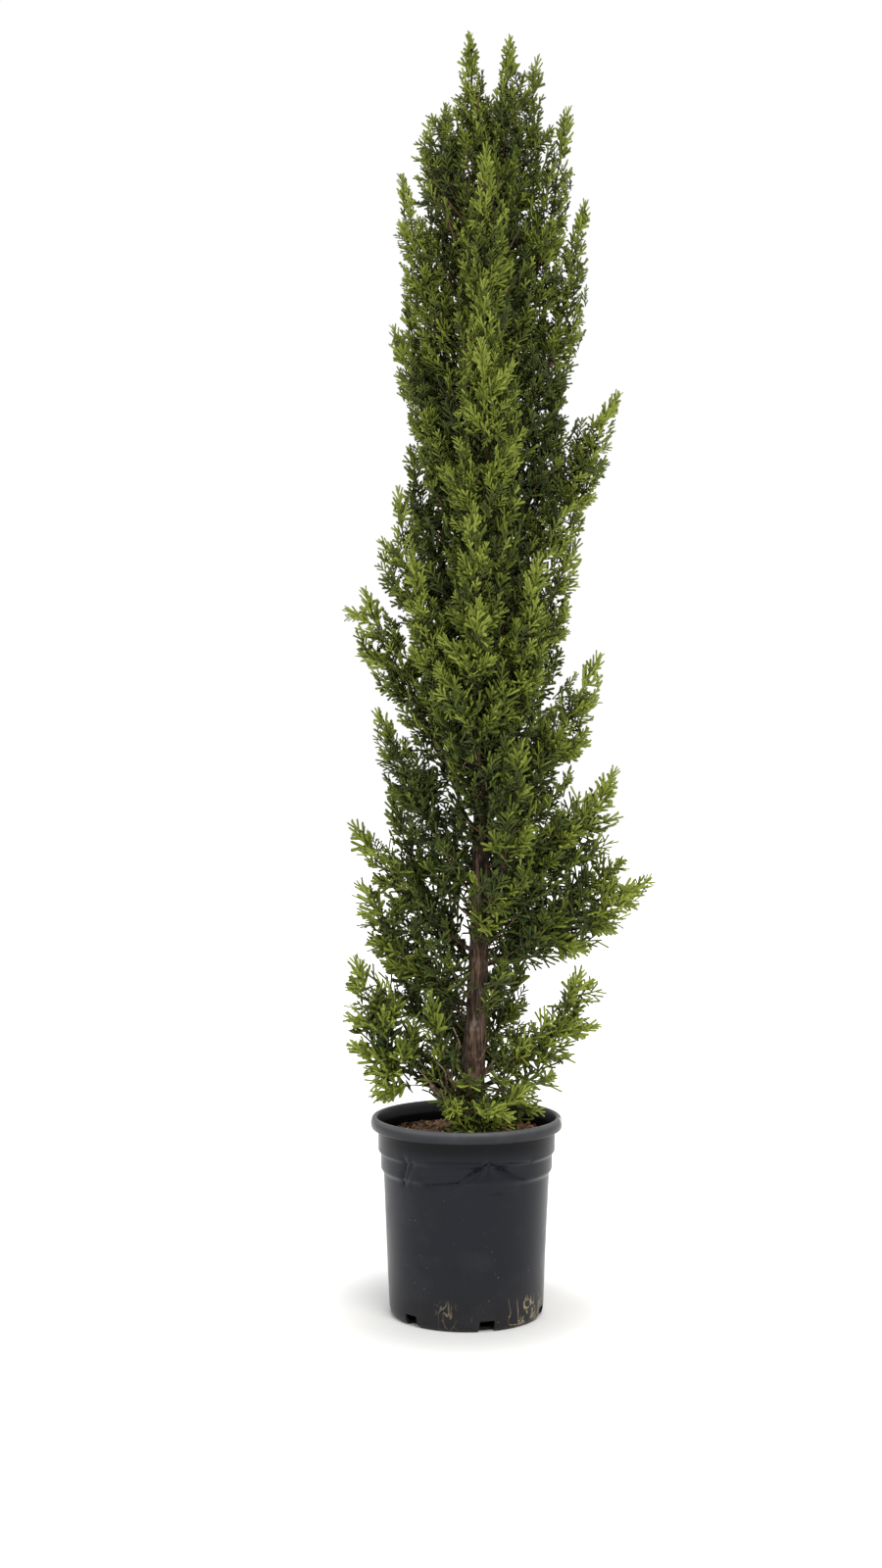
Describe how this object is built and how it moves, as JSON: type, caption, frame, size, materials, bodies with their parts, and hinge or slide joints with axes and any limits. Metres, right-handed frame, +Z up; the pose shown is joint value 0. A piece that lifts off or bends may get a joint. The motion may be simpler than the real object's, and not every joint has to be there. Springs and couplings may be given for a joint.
{
  "type": "potted cypress tree",
  "caption": "Tall narrow potted cypress: plumes of fine foliage on ascending boughs, a trunk bare at its foot, and a black nursery pot with a rolled rim and drain notches.",
  "frame": {"origin": "centre of the pot's flat underside, on the surface that the pot stands on", "axes": "+Z up along the trunk, +X to the right of the view from the front, -Y towards the front"},
  "size_m": [0.4455, 0.3033, 1.853],
  "materials": {
    "pot": "satin black injection-moulded nursery plastic, dusty and scuffed",
    "soil": "dry crumbly brown potting soil",
    "bark": "fibrous reddish-brown bark with pale flakes",
    "foliage": "matt scale-leaved sprays, yellow-green tips over darker green"
  },
  "bodies": {
    "root": {"bough_lower_far_left": "bark", "bough_lower_far_right": "bark", "bough_lower_left_back": "bark", "bough_lower_left_spur": "bark", "bough_lower_right_edge": "bark", "bough_lower_right_spur": "bark", "bough_middle_far_left": "bark", "bough_middle_right_spur": "bark", "bough_skirt_back": "bark", "bough_skirt_front": "bark", "bough_skirt_left": "bark", "bough_skirt_left_back": "bark", "bough_skirt_right": "bark", "plume_lower_back": "foliage", "plume_lower_far_left": "foliage", "plume_lower_far_right": "foliage", "plume_lower_front": "foliage", "plume_lower_front_right": "foliage", "plume_lower_left_back": "foliage", "plume_lower_left_edge": "foliage", "plume_lower_left_spur": "foliage", "plume_lower_right_edge": "foliage", "plume_lower_right_spur": "foliage", "plume_middle_back": "foliage", "plume_middle_back_left": "foliage", "plume_middle_back_right": "foliage", "plume_middle_far_left": "foliage", "plume_middle_front": "foliage", "plume_middle_front_crest": "foliage", "plume_middle_front_left": "foliage", "plume_middle_front_right": "foliage", "plume_middle_left": "foliage", "plume_middle_left_back": "foliage", "plume_middle_right": "foliage", "plume_middle_right_back": "foliage", "plume_middle_right_spur": "foliage", "plume_skirt_back": "foliage", "plume_skirt_back_right": "foliage", "plume_skirt_front": "foliage", "plume_skirt_left": "foliage", "plume_skirt_left_back": "foliage", "plume_skirt_left_inner": "foliage", "plume_skirt_right": "foliage", "plume_top_back": "foliage", "plume_top_back_left": "foliage", "plume_top_front": "foliage", "plume_top_leader": "foliage", "plume_top_left": "foliage", "plume_top_right_edge": "foliage", "plume_top_right_inner": "foliage", "plume_top_right_outer": "foliage", "plume_upper_back_left": "foliage", "plume_upper_back_right": "foliage", "plume_upper_front": "foliage", "plume_upper_left": "foliage", "plume_upper_left_back": "foliage", "plume_upper_right": "foliage", "pot": "pot", "soil": "soil", "trunk": "bark"}
  },
  "joints": []
}
